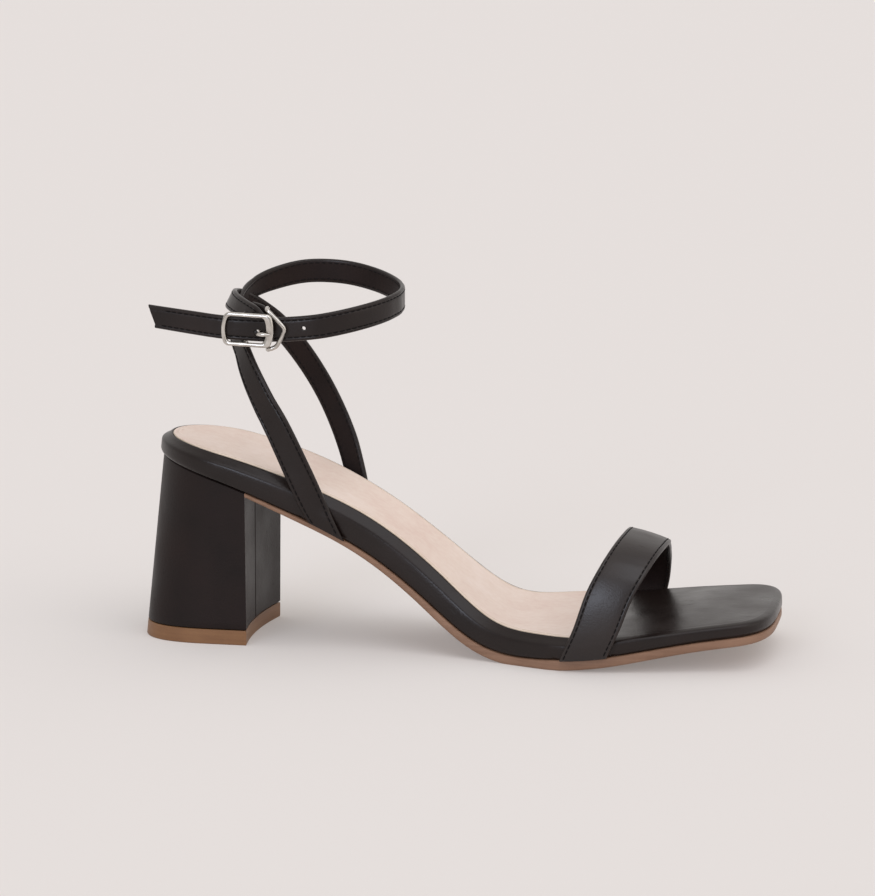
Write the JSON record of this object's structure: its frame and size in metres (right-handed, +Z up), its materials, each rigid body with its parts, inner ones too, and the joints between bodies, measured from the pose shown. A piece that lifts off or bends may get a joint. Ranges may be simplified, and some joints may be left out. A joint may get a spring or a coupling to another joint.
{
  "type": "heeled ankle strap sandal",
  "caption": "Open sandal with a block heel, a square toe, a band over the toes and crossed ankle straps closed by a buckle.",
  "frame": {"origin": "middle of the top lift's ground face, on the floor", "axes": "+X from the heel to the toe, +Y to the inner side of the foot, +Z up"},
  "size_m": [0.2272, 0.0903, 0.132],
  "materials": {
    "outsole": "matt tan resin-leather outsole",
    "footbed": "black smooth leather wrap with a soft sheen",
    "insole_sock": "pinkish beige matt lining leather",
    "heel_block": "black smooth leather wrapped over the heel",
    "top_lift": "tan matt heel tip",
    "toe_strap": "black smooth leather with a soft sheen",
    "ankle_straps": "black smooth leather with a soft sheen",
    "strap_ring": "polished nickel-coloured plating",
    "buckle_frame": "polished nickel-coloured plating",
    "buckle_prong": "polished nickel-coloured plating"
  },
  "bodies": {
    "root": {"outsole": "outsole", "footbed": "footbed", "insole_sock": "insole_sock", "heel_block": "heel_block", "top_lift": "top_lift", "toe_strap": "toe_strap", "ankle_straps": "ankle_straps", "strap_ring": "strap_ring", "buckle_frame": "buckle_frame", "buckle_prong": "buckle_prong"}
  },
  "joints": []
}
